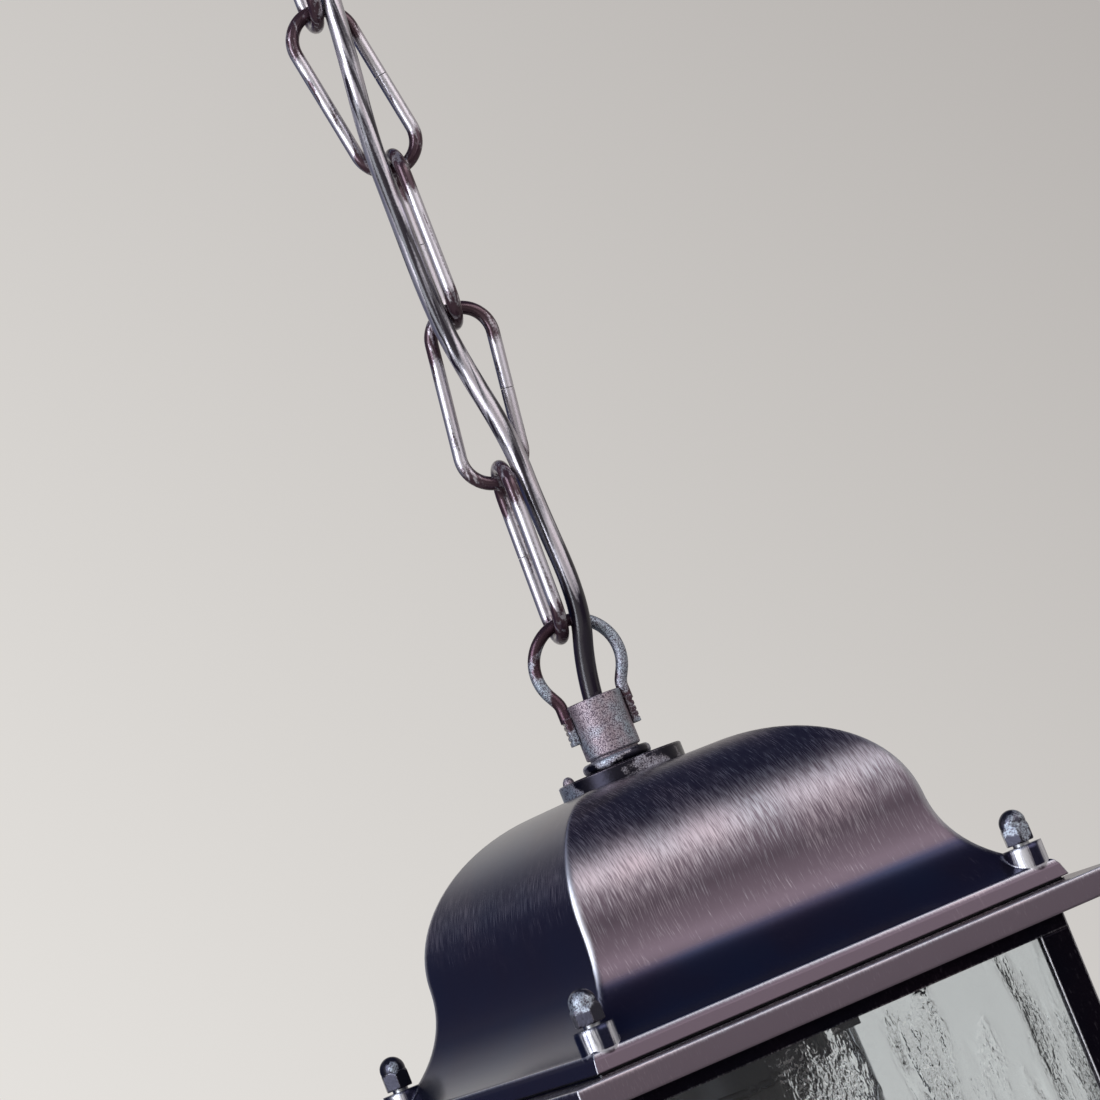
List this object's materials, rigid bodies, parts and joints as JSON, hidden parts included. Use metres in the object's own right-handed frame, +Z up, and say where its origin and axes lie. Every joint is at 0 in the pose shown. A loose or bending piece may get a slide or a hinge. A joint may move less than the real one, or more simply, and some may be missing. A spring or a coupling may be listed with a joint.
{
  "type": "outdoor pendant lantern",
  "caption": "Square cast-metal lantern with an ogee roof and water-glass panes, hung on a welded-link chain with a black cable from a ceiling rose",
  "frame": {"origin": "centre of the ceiling strap's upper face, in the ceiling plane", "axes": "+Z up; the lantern's four sides lie along X and Y; the front corner of the picture is at -X -Y"},
  "size_m": [0.1904, 0.1904, 0.7127],
  "materials": {
    "cast_finish": "antique black enamel dry-brushed with silver",
    "chain_finish": "antique black with rubbed silver",
    "cable_sheath": "satin black sheath",
    "zinc_steel": "zinc-plated",
    "core_insulation": "smooth insulation",
    "block_plastic": "matt moulding",
    "seal_rubber": "matt",
    "water_glass": "clear seedy water glass",
    "cover_paint": "satin black",
    "holder_plastic": "black moulding",
    "holder_ceramic": "glazed",
    "socket_brass": "plain"
  },
  "bodies": {
    "ceiling_set": {"ceiling_strap": "zinc_steel", "rose_screws": "zinc_steel", "rose_nuts": "cast_finish", "ceiling_rose": "cast_finish", "ceiling_ring": "cast_finish", "ceiling_collar": "cast_finish", "ceiling_loop": "cast_finish", "ceiling_nipple": "zinc_steel", "ceiling_washer": "zinc_steel", "ceiling_locknut": "zinc_steel", "terminal_block": "block_plastic", "cable_top_end": "cable_sheath", "cable_cores": "core_insulation", "cable_stretch_1": "cable_sheath"},
    "link_1": {"chain_link_1": "chain_finish", "cable_stretch_2": "cable_sheath"},
    "link_2": {"chain_link_2": "chain_finish", "cable_stretch_3": "cable_sheath"},
    "link_3": {"chain_link_3": "chain_finish", "cable_stretch_4": "cable_sheath"},
    "link_4": {"chain_link_4": "chain_finish", "cable_stretch_5": "cable_sheath"},
    "link_5": {"chain_link_5": "chain_finish", "cable_stretch_6": "cable_sheath"},
    "lantern": {"lantern_loop": "cast_finish", "lantern_collar": "cast_finish", "lantern_ring": "cast_finish", "roof_plate": "cast_finish", "plate_screw": "zinc_steel", "lantern_nipple": "zinc_steel", "roof_washer": "zinc_steel", "roof_locknut": "zinc_steel", "cover_locknuts": "zinc_steel", "cable_lower_end": "cable_sheath", "roof": "cast_finish", "roof_seal": "seal_rubber", "cornice": "cast_finish", "corner_studs": "zinc_steel", "corner_cap_nuts": "cast_finish", "post_front_right": "cast_finish", "post_rear_right": "cast_finish", "post_rear_left": "cast_finish", "post_front_left": "cast_finish", "glass_right": "water_glass", "glass_rear": "water_glass", "glass_left": "water_glass", "glass_front": "water_glass", "pane_clips": "zinc_steel", "clip_screws": "zinc_steel", "base_frame": "cast_finish", "base_tray": "cast_finish", "tray_screws": "zinc_steel", "base_finial": "cast_finish", "finial_nut": "zinc_steel", "lamp_cover": "cover_paint", "holder_body": "holder_plastic", "holder_insert": "holder_ceramic", "socket_shell": "socket_brass", "socket_contact": "socket_brass", "holder_ring": "holder_plastic"}
  },
  "joints": [
    {"name": "link_1_swing", "type": "hinge", "parent": "ceiling_set", "child": "link_1", "pos_m": [0, 0, -0.0723], "axis": [0.9659, -0.2588, 0], "range_deg": [-30, 30], "deforming": ["cable_stretch_1"]},
    {"name": "link_2_swing", "type": "hinge", "parent": "link_1", "child": "link_2", "pos_m": [-0.00058, 0.00015, -0.12299], "axis": [0.2588, 0.9659, 0], "range_deg": [-30, 30], "deforming": ["cable_stretch_2"]},
    {"name": "link_3_swing", "type": "hinge", "parent": "link_2", "child": "link_3", "pos_m": [0.00502, -0.00135, -0.17302], "axis": [0.9659, -0.2588, 0], "range_deg": [-30, 30], "deforming": ["cable_stretch_3"]},
    {"name": "link_4_swing", "type": "hinge", "parent": "link_3", "child": "link_4", "pos_m": [0.00444, -0.00119, -0.22352], "axis": [0.2588, 0.9659, 0], "range_deg": [-30, 30], "deforming": ["cable_stretch_4"]},
    {"name": "link_5_swing", "type": "hinge", "parent": "link_4", "child": "link_5", "pos_m": [-0.00039, 0.0001, -0.27366], "axis": [0.9659, -0.2588, 0], "range_deg": [-30, 30], "deforming": ["cable_stretch_5"]},
    {"name": "lantern_swing", "type": "hinge", "parent": "link_5", "child": "lantern", "pos_m": [-0.00145, 0.00039, -0.32415], "axis": [0.2588, 0.9659, 0], "range_deg": [-30, 30], "deforming": ["cable_stretch_6"]}
  ]
}
